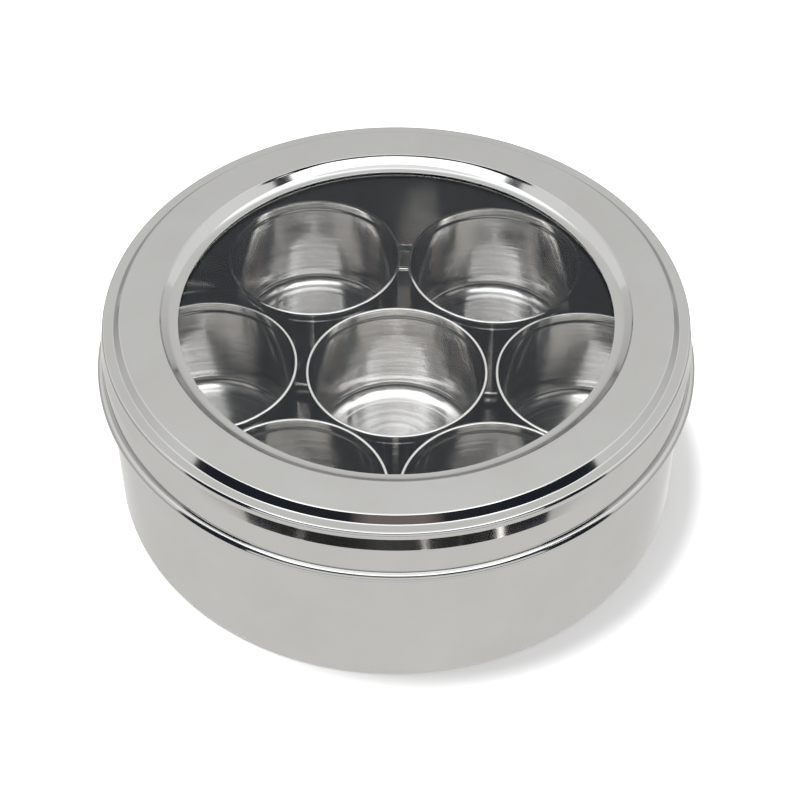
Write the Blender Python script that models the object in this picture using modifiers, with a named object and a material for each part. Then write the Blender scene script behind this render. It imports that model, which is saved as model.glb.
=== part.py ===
"""Spice box (masala dabba): a round stainless-steel box, a lid with a see-through window, and seven
loose bowls. Metres, +Z up, origin at the centre of the underside."""
import math

import bmesh
import bpy

# --- driving dimensions -------------------------------------------------------------------------
SHEET = 0.0005          # steel sheet of the box and the lid
GAP = 0.0003            # clearance kept between pieces that rest on each other

BOX_R = 0.1014          # outside of the box wall
BOX_RIM_Z = 0.0660      # top edge of the box wall, hidden inside the lid
BOX_CORNER = 0.0020     # outside radius between wall and underside
BOX_PANEL_R = 0.0880    # the floor is a panel pressed up inside this radius
BOX_PANEL_RISE = 0.0015
BOX_PANEL_SLOPE = 0.0020

BOWL_R = 0.0325         # outside of the rolled rim
BOWL_RIM_Z = 0.0445     # top of the rims above the underside of the box
BOWL_SHEET = 0.0004
BOWL_CURL = 0.0011      # height of the rolled rim
BOWL_BAND_R = 0.0321    # the band below the rim
BOWL_WALL_R = 0.0316    # the wall below the band
BOWL_BAND_DEPTH = 0.0036
BOWL_STEP = 0.0008      # height of the slope between band and wall
BOWL_CORNER = 0.0035    # outside radius between wall and base

LID_TOP_Z = 0.0760      # flat ring, the highest face
LID_LIP_Z = 0.0726      # lip that frames the window
LID_LEDGE_Z = 0.0737    # narrow ledge outside the flat ring
WINDOW_R = 0.0754       # visible window opening
LIP_R = 0.0779
RING_IN_R = 0.0815
RING_OUT_R = 0.0945
LEDGE_IN_R = 0.0982
LEDGE_OUT_R = 0.1007
LEDGE_EDGE = 0.0010     # drop and reach of the rounded edge of the ledge
SHOULDER_Z = 0.0670     # where the sloping shoulder meets the skirt
SKIRT_TOP_R = 0.1023
SKIRT_FOOT_R = 0.10275
SKIRT_FOOT_Z = 0.0574
BEAD_R = 0.1035         # centre of the rolled bead
BEAD_Z = 0.0546
BEAD_TUBE = 0.00135     # radius of the rolled bead

DISC_R = 0.0815
DISC_THICK = 0.0015
RETAINER_IN_R = 0.0762
RETAINER_RISER_R = 0.0820
RETAINER_OUT_R = 0.0910

STEPS_LARGE = 64        # facets round the box and the lid
STEPS_BOWL = 30         # facets round a bowl

# name: direction from the box's axis in degrees from +X, distance from the axis
BOWL_PLACES = {
    "bowl_centre": (-82.0, 0.0014),
    "bowl_right": (-2.9, 0.0679),
    "bowl_rear_right": (56.4, 0.0665),
    "bowl_rear_left": (117.4, 0.0670),
    "bowl_left": (178.7, 0.0678),
    "bowl_front_left": (239.0, 0.0670),
    "bowl_front_right": (299.3, 0.0674),
}


# --- helpers ------------------------------------------------------------------------------------
def clear_scene():
    for obj in list(bpy.data.objects):
        bpy.data.objects.remove(obj, do_unlink=True)


def make_collection(name):
    collection = bpy.data.collections.new(name)
    bpy.context.scene.collection.children.link(collection)
    return collection


def make_material(name, color, roughness, metallic, alpha=1.0):
    material = bpy.data.materials.new(name)
    material.use_nodes = True
    shader = material.node_tree.nodes["Principled BSDF"]
    shader.inputs["Base Color"].default_value = (*color, 1.0)
    shader.inputs["Roughness"].default_value = roughness
    shader.inputs["Metallic"].default_value = metallic
    shader.inputs["Alpha"].default_value = alpha
    return material


def arc(center_r, center_z, radius, start_deg, end_deg, count):
    """Points on an arc in the profile plane; 0 degrees points outwards, 90 degrees up."""
    points = []
    for i in range(count):
        angle = math.radians(start_deg + (end_deg - start_deg) * i / (count - 1))
        points.append((center_r + radius * math.cos(angle), center_z + radius * math.sin(angle)))
    return points


def inner_side(outer, thickness):
    """The other face of a sheet: the outer profile moved inwards with mitred corners, in reverse."""
    inner = []
    for i, (r, z) in enumerate(outer):
        before = outer[max(i - 1, 0)]
        after = outer[min(i + 1, len(outer) - 1)]
        normals = []
        for start, end in ((before, (r, z)), ((r, z), after)):
            length = math.hypot(end[0] - start[0], end[1] - start[1])
            if length > 0.0:
                normals.append(((end[1] - start[1]) / length, (start[0] - end[0]) / length))
        sum_r = sum(n[0] for n in normals)
        sum_z = sum(n[1] for n in normals)
        scale = len(normals) * thickness / (sum_r ** 2 + sum_z ** 2)
        inner.append((r + sum_r * scale, z + sum_z * scale))
    return inner[::-1]


def lathe(name, profile, steps, closed, collection, material, location=(0.0, 0.0, 0.0)):
    """Turn a profile about Z with a Screw modifier. The outer side runs from top to bottom."""
    mesh = bpy.data.meshes.new(name)
    bm = bmesh.new()
    verts = [bm.verts.new((r, 0.0, z)) for r, z in profile]
    for first, second in zip(verts, verts[1:]):
        bm.edges.new((first, second))
    if closed:
        bm.edges.new((verts[-1], verts[0]))
    bm.to_mesh(mesh)
    bm.free()
    obj = bpy.data.objects.new(name, mesh)
    obj.location = location
    collection.objects.link(obj)
    mesh.materials.append(material)
    screw = obj.modifiers.new("turn", "SCREW")
    screw.axis = "Z"
    screw.angle = 2.0 * math.pi
    screw.steps = steps
    screw.render_steps = steps
    screw.use_merge_vertices = True
    screw.merge_threshold = 0.00001
    screw.use_smooth_shade = True
    screw.use_normal_calculate = False
    return obj


# --- the box ------------------------------------------------------------------------------------
def box_profile():
    """Inner floor, inner wall, rim, then the outer wall and the underside."""
    inner_r = BOX_R - SHEET
    foot_r = BOX_PANEL_R + BOX_PANEL_SLOPE
    floor_z = BOX_PANEL_RISE + SHEET
    inner_corner = BOX_CORNER - SHEET
    points = [(0.0, floor_z), (BOX_PANEL_R, floor_z), (foot_r, SHEET)]
    points += arc(inner_r - inner_corner, BOX_CORNER, inner_corner, -90.0, 0.0, 3)
    points += [(inner_r, BOX_RIM_Z), (BOX_R, BOX_RIM_Z)]
    points += arc(BOX_R - BOX_CORNER, BOX_CORNER, BOX_CORNER, 0.0, -90.0, 3)
    points += [(foot_r, 0.0), (BOX_PANEL_R, BOX_PANEL_RISE), (0.0, BOX_PANEL_RISE)]
    return points


def add_box(collection, steel):
    return lathe("box_body", box_profile(), STEPS_LARGE, False, collection, steel)


# --- the bowls ----------------------------------------------------------------------------------
def bowl_profile(height):
    """Inner floor and wall up to the rolled rim, then the outer side down to the base."""
    flat_r = BOWL_WALL_R - BOWL_CORNER
    step_low = height - BOWL_BAND_DEPTH - BOWL_STEP
    step_high = height - BOWL_BAND_DEPTH
    curl_mid = height - BOWL_CURL / 2.0
    points = [(0.0, BOWL_SHEET)]
    points += arc(flat_r, BOWL_CORNER, BOWL_CORNER - BOWL_SHEET, -90.0, 0.0, 3)
    points += [
        (BOWL_WALL_R - BOWL_SHEET, step_low),
        (BOWL_BAND_R - BOWL_SHEET, step_high),
        (BOWL_BAND_R - BOWL_SHEET, curl_mid),
        (BOWL_BAND_R, height),
        (BOWL_R, curl_mid),
        (BOWL_BAND_R, height - BOWL_CURL),
        (BOWL_BAND_R, step_high),
        (BOWL_WALL_R, step_low),
    ]
    points += arc(flat_r, BOWL_CORNER, BOWL_CORNER, 0.0, -90.0, 3)
    points.append((0.0, 0.0))
    return points


def add_bowls(collection, steel):
    base_z = BOX_PANEL_RISE + SHEET + GAP
    profile = bowl_profile(BOWL_RIM_Z - base_z)
    for name, (direction, distance) in BOWL_PLACES.items():
        angle = math.radians(direction)
        place = (distance * math.cos(angle), distance * math.sin(angle), base_z)
        lathe(name, profile, STEPS_BOWL, False, collection, steel, place)


# --- the lid ------------------------------------------------------------------------------------
def lid_profile():
    """Outer face from the window to the rolled bead, then back along the inner face."""
    pressed = [
        (WINDOW_R, LID_LIP_Z),
        (LIP_R, LID_LIP_Z),
        (RING_IN_R, LID_TOP_Z),
        (RING_OUT_R, LID_TOP_Z),
        (LEDGE_IN_R, LID_LEDGE_Z),
        (LEDGE_OUT_R, LID_LEDGE_Z),
        (LEDGE_OUT_R + LEDGE_EDGE, LID_LEDGE_Z - LEDGE_EDGE),
        (SKIRT_TOP_R, SHOULDER_Z),
        (SKIRT_FOOT_R, SKIRT_FOOT_Z),
    ]
    bead = arc(BEAD_R, BEAD_Z, BEAD_TUBE, 110.0, -90.0, 6)
    foot = [(SKIRT_FOOT_R - SHEET, BEAD_Z - BEAD_TUBE)]
    return pressed + bead + foot + inner_side(pressed, SHEET)


def disc_profile():
    top = LID_LIP_Z - SHEET - GAP
    return [(0.0, top), (DISC_R, top), (DISC_R, top - DISC_THICK), (0.0, top - DISC_THICK)]


def retainer_profile():
    """A Z section: a flange under the window, a riser, and a flange under the flat ring."""
    high = LID_TOP_Z - SHEET - GAP
    low = LID_LIP_Z - 2.0 * SHEET - 2.0 * GAP - DISC_THICK
    return [
        (RETAINER_RISER_R, high),
        (RETAINER_OUT_R, high),
        (RETAINER_OUT_R, high - SHEET),
        (RETAINER_RISER_R + SHEET, high - SHEET),
        (RETAINER_RISER_R + SHEET, low),
        (RETAINER_IN_R, low),
        (RETAINER_IN_R, low + SHEET),
        (RETAINER_RISER_R, low + SHEET),
    ]


def add_lid(collection, steel, retainer_steel, clear):
    lathe("lid_shell", lid_profile(), STEPS_LARGE, True, collection, steel)
    lathe("window_disc", disc_profile(), STEPS_LARGE, False, collection, clear)
    lathe("window_retainer", retainer_profile(), STEPS_LARGE, True, collection, retainer_steel)


def main():
    clear_scene()
    collection = make_collection("spice_box")
    polished = make_material("polished_steel", (0.76, 0.76, 0.75), 0.12, 1.0)
    spun = make_material("spun_steel", (0.66, 0.66, 0.66), 0.28, 1.0)
    plain = make_material("retainer_steel", (0.60, 0.60, 0.60), 0.30, 1.0)
    clear = make_material("clear_window", (0.92, 0.95, 0.96), 0.03, 0.0, 0.25)
    add_box(collection, polished)
    add_bowls(collection, spun)
    add_lid(collection, polished, plain, clear)


main()
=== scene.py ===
"""Looks of the spice box: polished pressed steel, spun bowls and a clear window, round the CAD frame."""
import math

import bpy
from mathutils import Matrix, Vector


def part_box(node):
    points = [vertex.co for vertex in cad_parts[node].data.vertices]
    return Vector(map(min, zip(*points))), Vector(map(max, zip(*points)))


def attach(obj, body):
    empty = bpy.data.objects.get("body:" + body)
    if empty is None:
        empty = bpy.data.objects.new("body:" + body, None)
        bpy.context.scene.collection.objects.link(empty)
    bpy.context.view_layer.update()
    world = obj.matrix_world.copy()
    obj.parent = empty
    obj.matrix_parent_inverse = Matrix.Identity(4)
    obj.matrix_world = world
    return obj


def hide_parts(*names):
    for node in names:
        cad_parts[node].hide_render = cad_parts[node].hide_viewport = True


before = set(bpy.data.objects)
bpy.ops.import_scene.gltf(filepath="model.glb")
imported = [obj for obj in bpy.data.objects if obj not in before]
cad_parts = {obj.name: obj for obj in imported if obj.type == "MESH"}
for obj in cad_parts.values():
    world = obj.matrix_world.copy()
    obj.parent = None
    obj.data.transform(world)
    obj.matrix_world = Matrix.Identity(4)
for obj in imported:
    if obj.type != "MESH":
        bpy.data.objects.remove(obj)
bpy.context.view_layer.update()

MM = 0.001

# --- camera, in metres and degrees --------------------------------------------------------------
CAMERA_PLACE = (-0.00032, -0.47956, 0.52849)
CAMERA_PITCH = 43.783                   # degrees up from straight down
CAMERA_YAW = -0.204
CAMERA_ROLL = 0.264
CAMERA_LENS = 85.83                     # on a sensor 36 mm wide

# --- fine shape, in mm --------------------------------------------------------------------------
SHEET = 0.5                             # box, lid and retainer
BOWL_SHEET = 0.4
SIDES_LARGE = 288                       # sides of the box, the lid and the window
SIDES_BOWL = 160
ARC_STEP = 8.0                          # degrees between the points of a fillet

PANEL_R = 88.0                          # the floor panel of the box, pressed up inside this radius
PANEL_RISE = 1.5
FOOT_R = 90.0                           # inner edge of the flat foot ring

WINDOW_R = 75.4                         # edge of the lid's lip, round the window
LIP_DROP = 3.4                          # how far the lip lies below the flat ring
RING_IN_R = 81.55                       # the flat ring, the highest face
RING_OUT_R = 95.3
LEDGE_DROP = 2.3                        # how far the narrow ledge lies below the flat ring
BEAD_HEIGHT = 3.5                       # the rolled bead at the foot of the lid
BEAD_ROUND = 1.7

RETAINER_IN_R = 76.2                    # inner edge of the flange under the window
RETAINER_RISER_R = 82.0

BOWL_PANEL_R = 24.0                     # the middle of a bowl's base stands up inside this radius
BOWL_PANEL_RISE = 0.4
BOWL_CURL = 1.1                         # height of the rolled rim
BOWL_BAND_DEPTH = 3.6                   # from the rim down to the step in the wall
BOWL_STEP = 0.8

BOWLS = (
    "bowl_centre", "bowl_right", "bowl_rear_right", "bowl_rear_left",
    "bowl_left", "bowl_front_left", "bowl_front_right",
)


# --- turned shapes ------------------------------------------------------------------------------
def heading(start, end):
    length = math.hypot(end[0] - start[0], end[1] - start[1])
    return ((end[0] - start[0]) / length, (end[1] - start[1]) / length)


def fillet(before, corner, after, radius):
    """Points (r, z, normal r, normal z) of the arc that rounds one corner.

    The outside of the sheet is on the left of the direction of travel."""
    first = heading(before, corner)
    second = heading(corner, after)
    turn = math.atan2(
        first[0] * second[1] - first[1] * second[0], first[0] * second[0] + first[1] * second[1]
    )
    reach = radius * math.tan(abs(turn) / 2.0)
    side = math.copysign(radius, turn)
    normal = (-first[1], first[0])
    centre = (
        corner[0] - first[0] * reach + side * normal[0],
        corner[1] - first[1] * reach + side * normal[1],
    )
    count = max(2, math.ceil(abs(math.degrees(turn)) / ARC_STEP) + 1)
    points = []
    for k in range(count):
        angle = turn * k / (count - 1)
        nr = normal[0] * math.cos(angle) - normal[1] * math.sin(angle)
        nz = normal[0] * math.sin(angle) + normal[1] * math.cos(angle)
        points.append((centre[0] - side * nr, centre[1] - side * nz, nr, nz))
    return points


def rounded(corners):
    """A closed outline of corners (r, z, fillet radius), or one that starts and ends on the axis."""
    points = []
    for i, (r, z, radius) in enumerate(corners):
        if r == 0.0:
            points.append((r, z, 0.0, 1.0 if i == 0 else -1.0))
        else:
            before = corners[i - 1][:2]
            after = corners[(i + 1) % len(corners)][:2]
            points += fillet(before, (r, z), after, radius)
    return points


def inner_face(corners, thickness):
    """The other face of a sheet: each corner moved by the thickness, in reverse order."""
    moved = []
    for before, corner, after in zip(corners, corners[1:], corners[2:]):
        first = heading(before, corner)
        second = heading(corner, after)
        across = (-first[1] - second[1], first[0] + second[0])
        scale = 2.0 * thickness / (across[0] ** 2 + across[1] ** 2)
        convex = first[0] * second[1] - first[1] * second[0] < 0.0
        radius = max(corner[2] - thickness, 0.05) if convex else corner[2] + thickness
        moved.append((corner[0] - across[0] * scale, corner[1] - across[1] * scale, radius))
    return moved[::-1]


def turned(name, outline, sides, material, location=(0.0, 0.0, 0.0)):
    """A mesh of revolution about Z whose normals are the outline's own."""
    verts, normals, faces, rings = [], [], [], []
    for r, z, nr, nz in outline:
        first = len(verts)
        if r == 0.0:
            rings.append([first] * sides)
            verts.append((0.0, 0.0, z * MM))
            normals.append((0.0, 0.0, nz))
            continue
        rings.append(list(range(first, first + sides)))
        for k in range(sides):
            angle = 2.0 * math.pi * k / sides
            verts.append((r * MM * math.cos(angle), r * MM * math.sin(angle), z * MM))
            normals.append((nr * math.cos(angle), nr * math.sin(angle), nz))
    following = rings[1:] if outline[0][0] == 0.0 else rings[1:] + rings[:1]
    for ring, after in zip(rings, following):
        for k in range(sides):
            beside = (k + 1) % sides
            corners = (ring[k], after[k], after[beside], ring[beside])
            faces.append(tuple(dict.fromkeys(corners)))
    mesh = bpy.data.meshes.new(name)
    mesh.from_pydata(verts, [], faces)
    mesh.shade_smooth()
    mesh.normals_split_custom_set_from_vertices(normals)
    mesh.materials.append(material)
    obj = bpy.data.objects.new(name, mesh)
    obj.location = location
    bpy.context.scene.collection.objects.link(obj)
    return obj


# --- materials ----------------------------------------------------------------------------------
BASE_TOP = 0.0012                       # heights in a bowl, in metres: its base ends below this,
WALL_FOOT = 0.0030                      # its wall is plain wall above this,
RIM_FOOT = 0.0406                       # and its rolled rim starts here


class Nodes:
    """A small helper that adds linked shader nodes to one material."""

    def __init__(self, name):
        self.material = bpy.data.materials.new(name)
        self.material.use_nodes = True
        self.tree = self.material.node_tree
        self.shader = self.tree.nodes["Principled BSDF"]
        self.output = self.tree.nodes["Material Output"]

    def add(self, kind, inputs=(), **settings):
        node = self.tree.nodes.new(kind)
        for key, value in settings.items():
            setattr(node, key, value)
        for key, value in dict(inputs).items():
            if isinstance(value, bpy.types.NodeSocket):
                self.tree.links.new(value, node.inputs[key])
            else:
                node.inputs[key].default_value = value
        return node

    def math(self, operation, first, second=0.0):
        node = self.add("ShaderNodeMath", {0: first, 1: second}, operation=operation)
        return node.outputs[0]

    def vector(self, operation, first, second=(1.0, 1.0, 1.0)):
        return self.add("ShaderNodeVectorMath", {0: first, 1: second}, operation=operation)

    def noise(self, place, scale, detail=2.0, roughness=0.5):
        node = self.add(
            "ShaderNodeTexNoise",
            {"Vector": place, "Scale": scale, "Detail": detail, "Roughness": roughness},
        )
        return node.outputs[0]

    def spread(self, value, low, high, to_low, to_high):
        """The value taken from one range to another, and held at its ends."""
        node = self.add(
            "ShaderNodeMapRange",
            {"Value": value, "From Min": low, "From Max": high, "To Min": to_low, "To Max": to_high},
        )
        return node.outputs[0]

    def tint(self, factor, first, second):
        """A colour between two, as the factor goes from 0 to 1."""
        node = self.add("ShaderNodeMix", data_type="RGBA")
        self.tree.links.new(factor, node.inputs["Factor"])
        for socket in node.inputs:
            if socket.type == "RGBA":
                socket.default_value = (*(first if socket.name == "A" else second), 1.0)
        return [s for s in node.outputs if s.type == "RGBA"][0]

    def finish(self, **inputs):
        for key, value in inputs.items():
            socket = self.shader.inputs[key.replace("_", " ")]
            if isinstance(value, bpy.types.NodeSocket):
                self.tree.links.new(value, socket)
            else:
                socket.default_value = value
        return self.material


def polished_steel():
    """Pressed sheet, polished: faint upright drawing lines, soft smudges and slight waves."""
    n = Nodes("polished_steel")
    place = n.add("ShaderNodeTexCoord").outputs["Object"]
    upright = n.vector("MULTIPLY", place, (1.0, 1.0, 0.03)).outputs[0]
    lines = n.noise(upright, 600.0, 2.0, 0.5)
    smudge = n.noise(place, 38.0, 4.0, 0.6)
    waves = n.noise(place, 30.0, 1.0, 0.4)
    rough = n.math("ADD", n.spread(smudge, 0.3, 0.7, 0.06, 0.10), n.spread(lines, 0.3, 0.7, 0.0, 0.015))
    color = n.tint(n.spread(smudge, 0.3, 0.7, 0.0, 1.0), (0.545, 0.540, 0.525), (0.575, 0.573, 0.562))
    sheet = n.add("ShaderNodeBump", {"Strength": 0.35, "Distance": 0.0012, "Height": waves})
    drawn = n.add(
        "ShaderNodeBump",
        {"Strength": 0.012, "Distance": 0.00006, "Height": lines, "Normal": sheet.outputs[0]},
    )
    return n.finish(
        Base_Color=color, Metallic=1.0, Roughness=rough, Normal=drawn.outputs[0],
        Specular_Tint=(0.85, 0.85, 0.86, 1.0),
    )


def spun_steel():
    """Spun sheet: fine rings round the axis, which stretch a highlight up the wall and across the base.

    The base and the rolled rim have a painted highlight: their colour is lighter than the wall's."""
    n = Nodes("spun_steel")
    place = n.add("ShaderNodeTexCoord").outputs["Object"]
    flat = n.vector("MULTIPLY", place, (1.0, 1.0, 0.0)).outputs[0]
    radius = n.vector("LENGTH", flat).outputs["Value"]
    height = n.add("ShaderNodeSeparateXYZ", {0: place}).outputs["Z"]
    drift = n.vector("MULTIPLY", place, (0.06, 0.05, 0.0)).outputs[0]
    ring = n.add("ShaderNodeCombineXYZ", {"X": radius, "Y": height}).outputs[0]
    across = n.vector("ADD", ring, drift).outputs[0]
    fine = n.noise(across, 2600.0, 3.0, 0.6)
    broad = n.noise(across, 420.0, 2.0, 0.5)
    smudge = n.noise(place, 70.0, 3.0, 0.6)
    base = n.spread(height, BASE_TOP, WALL_FOOT, 0.23, 0.075)
    rough = n.math("ADD", base, n.spread(broad, 0.3, 0.7, -0.02, 0.025))
    rough = n.math("ADD", rough, n.spread(smudge, 0.3, 0.7, -0.012, 0.02))
    # painted highlight: the base and the rolled rim get a lighter colour than the wall; the broad rings add
    # random tone
    painted_base_highlight = n.spread(height, BASE_TOP, WALL_FOOT, 0.85, 0.0)
    painted_rim_highlight = n.spread(height, RIM_FOOT, RIM_FOOT + 0.0006, 0.0, 0.6)
    painted_highlight_and_tone = n.math("ADD", painted_base_highlight, n.spread(broad, 0.3, 0.7, 0.0, 0.15))
    painted_highlight_and_tone = n.math("ADD", painted_highlight_and_tone, painted_rim_highlight)
    # the colour carries the painted highlight on the base and rim, plus the random tone
    color = n.tint(painted_highlight_and_tone, (0.52, 0.508, 0.492), (0.95, 0.94, 0.92))
    rings = n.add("ShaderNodeBump", {"Strength": 0.05, "Distance": 0.00006, "Height": fine})
    waves = n.add(
        "ShaderNodeBump",
        {"Strength": 0.35, "Distance": 0.0002, "Height": broad, "Normal": rings.outputs[0]},
    )
    turn = n.add("ShaderNodeTangent", direction_type="RADIAL", axis="Z").outputs[0]
    return n.finish(
        Base_Color=color, Metallic=1.0, Roughness=rough, Normal=waves.outputs[0],
        Anisotropic=0.92, Anisotropic_Rotation=0.25, Tangent=turn,
    )


def retainer_steel():
    """Plain satin sheet."""
    n = Nodes("retainer_steel")
    place = n.add("ShaderNodeTexCoord").outputs["Object"]
    grain = n.noise(n.vector("MULTIPLY", place, (1.0, 1.0, 0.1)).outputs[0], 900.0, 3.0, 0.6)
    smudge = n.noise(place, 60.0, 2.0, 0.5)
    rough = n.math("ADD", n.spread(grain, 0.3, 0.7, 0.24, 0.32), n.spread(smudge, 0.3, 0.7, -0.03, 0.05))
    color = n.tint(smudge, (0.52, 0.52, 0.515), (0.60, 0.595, 0.585))
    bump = n.add("ShaderNodeBump", {"Strength": 0.10, "Distance": 0.00005, "Height": grain})
    return n.finish(Base_Color=color, Metallic=1.0, Roughness=rough, Normal=bump.outputs[0])


def clear_window():
    """A thin clear pane: see-through, with a weak mirror image and faint wipe marks."""
    n = Nodes("clear_window")
    place = n.add("ShaderNodeTexCoord").outputs["Object"]
    wipe = n.noise(n.vector("MULTIPLY", place, (1.0, 4.0, 1.0)).outputs[0], 30.0, 3.0, 0.6)
    rough = n.spread(wipe, 0.3, 0.7, 0.0, 0.006)
    color = n.tint(wipe, (0.985, 0.99, 0.99), (1.0, 1.0, 1.0))
    return n.finish(
        Base_Color=color, Roughness=rough, IOR=1.28, Transmission_Weight=1.0,
        Specular_Tint=(0.78, 0.87, 1.0, 1.0),
    )


# --- the pieces ---------------------------------------------------------------------------------
def finish_piece(obj, body, slot, *nodes):
    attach(obj, body)
    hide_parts(*nodes)


def add_box(steel):
    low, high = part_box("box_body")
    radius = (high.x - low.x) / 2.0 / MM
    rim = high.z / MM
    inner = radius - SHEET
    floor = PANEL_RISE + SHEET
    outline = rounded((
        (0.0, floor, 0.0), (PANEL_R, floor, 1.5), (FOOT_R, SHEET, 0.8), (inner, SHEET, 1.6),
        (inner, rim, 0.2), (radius, rim, 0.2), (radius, 0.0, 2.0),
        (FOOT_R, 0.0, 0.8), (PANEL_R, PANEL_RISE, 1.2), (0.0, PANEL_RISE, 0.0),
    ))
    finish_piece(turned("box_steel", outline, SIDES_LARGE, steel), "box", "polished_steel", "box_body")


def lid_outline(bead, top, foot):
    """The pressed outside from the window to the bead, the hem under the bead, and the inside."""
    lip = top - LIP_DROP
    ledge = top - LEDGE_DROP
    outside = (
        (WINDOW_R, lip, 0.2), (77.6, lip, 5.0), (81.0, top - 0.62, 3.0), (RING_IN_R, top, 0.25),
        (RING_OUT_R, top, 0.8), (97.6, ledge - 0.1, 0.7), (101.0, ledge + 0.15, 0.8),
        (101.5, ledge - 0.65, 1.0), (101.6, top - 4.6, 3.0), (102.45, top - 9.0, 3.0),
        (102.8, top - 18.0, 1.5), (102.95, foot + BEAD_HEIGHT, 0.12), (bead, foot + BEAD_HEIGHT, BEAD_ROUND),
    )
    hem = (
        (bead, foot, BEAD_ROUND), (103.03, foot, 0.1), (102.97, foot + 0.5, 0.03),
        (102.89, foot + 0.05, 0.1), (102.25, foot, 0.2),
    )
    skirt_foot = 11                     # the inside follows the outside down to the foot of the skirt
    under = inner_face(outside[:skirt_foot], SHEET)
    return rounded(outside + hem + tuple(under) + ((WINDOW_R, lip - SHEET, 0.2),))


def pane_outline(edge, up, down):
    return rounded(((0.0, up, 0.0), (edge, up, 0.2), (edge, down, 0.2), (0.0, down, 0.0)))


def retainer_outline(outer, up, down):
    """A Z section: a flange under the flat ring, a riser, and a flange under the window."""
    riser = RETAINER_RISER_R
    return rounded((
        (riser, up, 0.6), (outer, up, 0.2), (outer, up - SHEET, 0.2), (riser + SHEET, up - SHEET, 0.1),
        (riser + SHEET, down, 0.6), (RETAINER_IN_R, down, 0.2), (RETAINER_IN_R, down + SHEET, 0.2),
        (riser, down + SHEET, 0.1),
    ))


def size_of(node):
    """Outer radius, top and bottom of a node of the lid, in mm."""
    low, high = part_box(node)
    return (high.x - low.x) / 2.0 / MM, high.z / MM, low.z / MM


def add_lid(steel, clear, satin):
    for name, outline, slot, node, material in (
        ("lid_steel", lid_outline, "polished_steel", "lid_shell", steel),
        ("window_pane", pane_outline, "clear_window", "window_disc", clear),
        ("window_ring", retainer_outline, "retainer_steel", "window_retainer", satin),
    ):
        finish_piece(turned(name, outline(*size_of(node)), SIDES_LARGE, material), "lid", slot, node)


def bowl_outline(radius, height):
    """The inside from the raised middle of the base to the rolled rim, then the outside."""
    sheet = BOWL_SHEET
    band = radius - 0.4
    wall = radius - 0.9
    curl = radius - BOWL_CURL
    step = height - BOWL_BAND_DEPTH
    panel = BOWL_PANEL_RISE
    ring = BOWL_PANEL_R + 1.2
    return rounded((
        (0.0, sheet + panel, 0.0), (BOWL_PANEL_R, sheet + panel, 1.2), (ring, sheet, 1.2),
        (wall - sheet, sheet, 5.0), (wall - sheet, step - BOWL_STEP, 1.2), (band - sheet, step, 1.2),
        (band - sheet, height - 0.8, 0.2), (curl, height - 0.7, 0.1), (curl, height, 0.32),
        (radius, height, 0.4), (radius, height - BOWL_CURL, 0.4), (band, height - BOWL_CURL, 0.12),
        (band, step, 1.2), (wall, step - BOWL_STEP, 1.2), (wall, 0.0, 5.4), (ring, 0.0, 1.2),
        (BOWL_PANEL_R, panel, 1.0), (0.0, panel, 0.0),
    ))


def add_bowls(steel):
    for node in BOWLS:
        low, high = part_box(node)
        radius = (high.x - low.x) / 2.0 / MM
        height = (high.z - low.z) / MM
        place = ((low.x + high.x) / 2.0, (low.y + high.y) / 2.0, low.z)
        name = node.replace("bowl", "bowl_steel")
        obj = turned(name, bowl_outline(radius, height), SIDES_BOWL, steel, place)
        finish_piece(obj, node.replace("bowl_", "") + "_cup", "spun_steel", node)


# --- stage, in metres ---------------------------------------------------------------------------
# A white floor that the camera sees, and a tent of cards that only the steel reflects: back, top and
# two sides are bright, the front is dark near the floor, and round them is a dark room with lamps.
TENT_BACK = 0.42
TENT_TOP = 0.74
TENT_SIDE = 0.4
TENT_FLOOR_FRONT = -0.16
TENT_TOP_FRONT = -0.5
FRONT_CARD = -1.2

# strength of each shaded card: (place along its axis, strength)
BACK_SHADES = ((0.0, 0.4), (0.08, 0.65), (0.3, 0.86), (0.4, 0.86), (0.6, 0.9), (TENT_TOP, 0.98))
TOP_SHADES = (
    (TENT_TOP_FRONT, 2.2), (-0.3, 2.9), (-0.1, 2.6), (0.05, 1.9), (0.2, 1.9), (0.3, 1.8), (0.38, 1.15),
    (TENT_BACK, 1.0),
)
SIDE_SHADES = ((0.0, 0.4), (0.1, 0.75), (0.3, 1.08))
FRONT_SHADES = (
    (-0.8, 0.025), (-0.53, 0.03), (-0.4, 0.35), (-0.3, 1.0), (0.35, 1.0), (0.5, 0.7), (0.8, 0.3),
)
STAND_SHADES = ((-0.21, 0.03), (-0.10, 0.24), (0.10, 0.24), (0.21, 0.03))

# lamps seen from the front of the lid: azimuth and elevation in degrees, radius, strength
LAMPS = (
    (-123.5, -31.0, 0.023, 2.2), (-150.0, -32.0, 0.050, 1.2), (-80.0, -29.5, 0.024, 2.4),
    (-67.0, -30.0, 0.015, 1.0), (-60.0, -31.0, 0.018, 1.3), (-52.0, -30.0, 0.026, 3.0),
    (-22.0, 45.5, 0.066, 1.7),
)
LAMP_ORIGIN = (0.0, -0.095, 0.068)      # the front of the lid's shoulder

SUN_STRENGTH = 3.0
SUN_WIDTH = 15.0                        # degrees
SUN_HEADING = (0.20, -0.05, -1.0)


def only_shining(n, color, strength):
    """Make a material's surface only glow, with a number or a node's output as its strength."""
    light = n.add("ShaderNodeEmission", {"Color": (*color, 1.0), "Strength": strength})
    n.tree.links.new(light.outputs[0], n.output.inputs["Surface"])
    n.tree.nodes.remove(n.shader)
    return n.material


def glow(name, color, strength):
    return only_shining(Nodes(name), color, strength)


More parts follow.
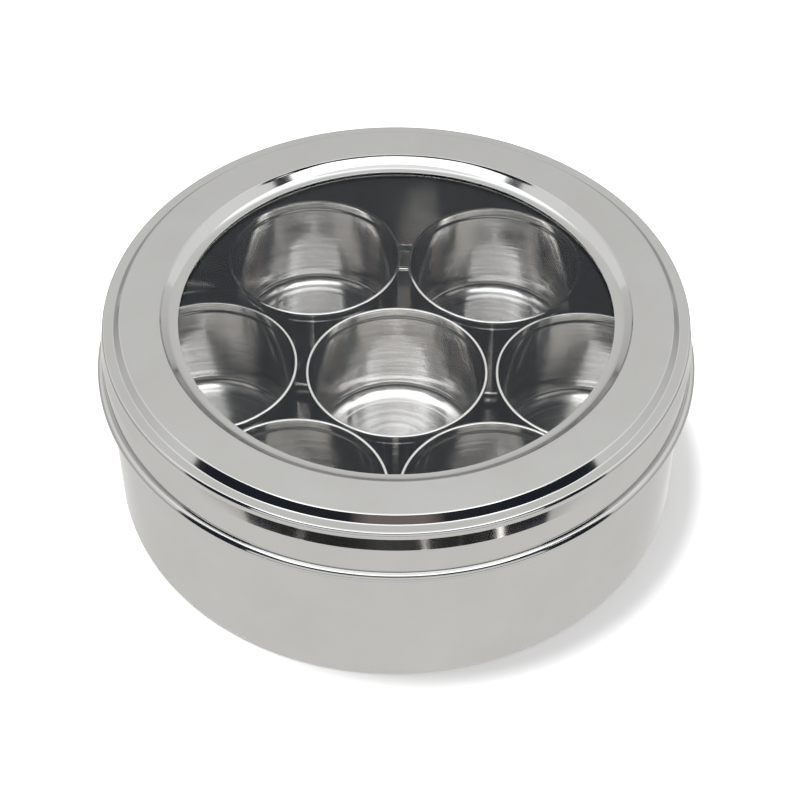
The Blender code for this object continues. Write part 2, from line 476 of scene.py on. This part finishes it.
def shaded_glow(name, color, axis, stops):
    """A glow whose strength runs through (place, strength) stops along one axis."""
    n = Nodes(name)
    place = n.add("ShaderNodeTexCoord").outputs["Object"]
    along = n.add("ShaderNodeSeparateXYZ", {0: place}).outputs[axis]
    strength = stops[0][1]
    for (low, first), (high, second) in zip(stops, stops[1:]):
        strength = n.math("ADD", n.spread(along, low, high, 0.0, second - first), strength)
    return only_shining(n, color, strength)


def only_mirrored(obj):
    """The steel reflects it; the camera doesn't see it, and it lights or shades nothing else."""
    obj.visible_camera = False
    obj.visible_diffuse = False
    obj.visible_volume_scatter = False
    obj.visible_shadow = False


def stage_face(name, corners, material):
    """One flat face of the stage."""
    mesh = bpy.data.meshes.new(name)
    mesh.from_pydata(corners, [], [tuple(range(len(corners)))])
    mesh.materials.append(material)
    obj = bpy.data.objects.new(name, mesh)
    bpy.context.scene.collection.objects.link(obj)
    return obj


def card(name, corners, material):
    only_mirrored(stage_face(name, corners, material))


def level_card(name, half, front, back, z, material):
    card(name, [(-half, front, z), (half, front, z), (half, back, z), (-half, back, z)], material)


def upright_card(name, half, y, low, high, material):
    card(name, [(-half, y, low), (half, y, low), (half, y, high), (-half, y, high)], material)


def side_card(name, x, material):
    """An upright card beside the box, whose front edge leans back."""
    corners = [(x, -0.2, -0.02), (x, TENT_BACK, -0.02), (x, TENT_BACK, TENT_TOP), (x, -0.06, TENT_TOP)]
    card(name, corners, material)


def ball(name, radius, place, segments, material):
    bpy.ops.mesh.primitive_uv_sphere_add(
        segments=segments, ring_count=segments // 2, radius=radius, location=place
    )
    obj = bpy.context.object
    obj.name = name
    obj.data.materials.append(material)
    only_mirrored(obj)


def circle(radius, z, sides=96):
    turns = (2.0 * math.pi * k / sides for k in range(sides))
    return [(radius * math.cos(t), radius * math.sin(t), z) for t in turns]


def add_lamp(azimuth, elevation, size, strength):
    """A small bright patch in the dark part of the room, one metre from the front of the lid."""
    around = math.radians(azimuth)
    up = math.radians(elevation)
    away = Vector((math.cos(up) * math.cos(around), math.cos(up) * math.sin(around), math.sin(up)))
    ball("room_lamp", size, Vector(LAMP_ORIGIN) + away, 24, glow("room_lamp", (1.0, 0.97, 0.92), strength))


def add_floor():
    n = Nodes("floor_white")
    white = n.finish(Base_Color=(0.9, 0.9, 0.9, 1.0), Roughness=0.9)
    floor = stage_face("floor", circle(12.0, -0.0004), white)
    floor.visible_glossy = False


def add_tent():
    card("turntable", circle(0.209, -0.0002), glow("turntable_white", (1.0, 0.985, 0.96), 0.93))
    ground = glow("tent_floor_white", (1.0, 0.99, 0.97), 0.7)
    level_card("tent_floor", 0.6, TENT_FLOOR_FRONT, TENT_BACK, -0.0003, ground)
    back = shaded_glow("back_card_white", (1.0, 1.0, 0.99), "Z", BACK_SHADES)
    upright_card("back_card", 0.6, TENT_BACK, -0.02, 0.75, back)
    top = shaded_glow("top_card_white", (0.95, 0.975, 1.0), "Y", TOP_SHADES)
    level_card("top_card", TENT_SIDE, TENT_TOP_FRONT, TENT_BACK, TENT_TOP, top)
    diffuser = glow("top_diffuser_white", (0.97, 0.985, 1.0), 1.35)
    card("top_diffuser", circle(0.19, TENT_TOP - 0.003), diffuser)
    side = shaded_glow("side_card_white", (1.0, 1.0, 1.0), "Z", SIDE_SHADES)
    side_card("left_card", -TENT_SIDE, side)
    side_card("right_card", TENT_SIDE, side)
    front = shaded_glow("front_card_grey", (0.98, 0.99, 1.0), "Z", FRONT_SHADES)
    upright_card("front_card", 1.3, FRONT_CARD, -0.8, 0.80, front)


def add_room():
    """The dark room round the tent, the brown stand over the front of the box, and the lamps."""
    ball("dark_room", 3.0, (0.0, 0.0, 0.0), 48, glow("room_dark", (0.60, 0.72, 1.0), 0.032))
    brown = shaded_glow("camera_stand_brown", (1.0, 0.86, 0.8), "X", STAND_SHADES)
    ball("camera_stand", 0.21, (0.0, -0.68, 0.62), 32, brown)
    for lamp in LAMPS:
        add_lamp(*lamp)


def add_light():
    """An even white sky and one soft sun, which make the shadow on the floor; no steel mirrors them."""
    world = bpy.data.worlds.new("studio")
    world.use_nodes = True
    sky = world.node_tree.nodes["Background"]
    sky.inputs["Color"].default_value = (1.0, 1.0, 1.0, 1.0)
    sky.inputs["Strength"].default_value = 1.0
    world.cycles_visibility.glossy = False
    bpy.context.scene.world = world
    light = bpy.data.lights.new("soft_key", "SUN")
    light.energy = SUN_STRENGTH
    light.angle = math.radians(SUN_WIDTH)
    lamp = bpy.data.objects.new("soft_key", light)
    lamp.rotation_euler = Vector(SUN_HEADING).to_track_quat("-Z", "Y").to_euler()
    lamp.visible_glossy = False
    bpy.context.scene.collection.objects.link(lamp)


def add_camera():
    data = bpy.data.cameras.new("camera")
    data.sensor_width = 36.0
    data.lens = CAMERA_LENS
    data.clip_start = 0.01
    camera = bpy.data.objects.new("camera", data)
    turn = (
        Matrix.Rotation(math.radians(CAMERA_YAW), 4, "Z")
        @ Matrix.Rotation(math.radians(CAMERA_PITCH), 4, "X")
        @ Matrix.Rotation(math.radians(CAMERA_ROLL), 4, "Z")
    )
    camera.matrix_world = Matrix.Translation(CAMERA_PLACE) @ turn
    bpy.context.scene.collection.objects.link(camera)
    bpy.context.scene.camera = camera


add_camera()
add_light()
add_floor()
add_tent()
add_room()
polished = polished_steel()
add_box(polished)
add_lid(polished, clear_window(), retainer_steel())
add_bowls(spun_steel())
bpy.context.scene.view_settings.view_transform = "Standard"
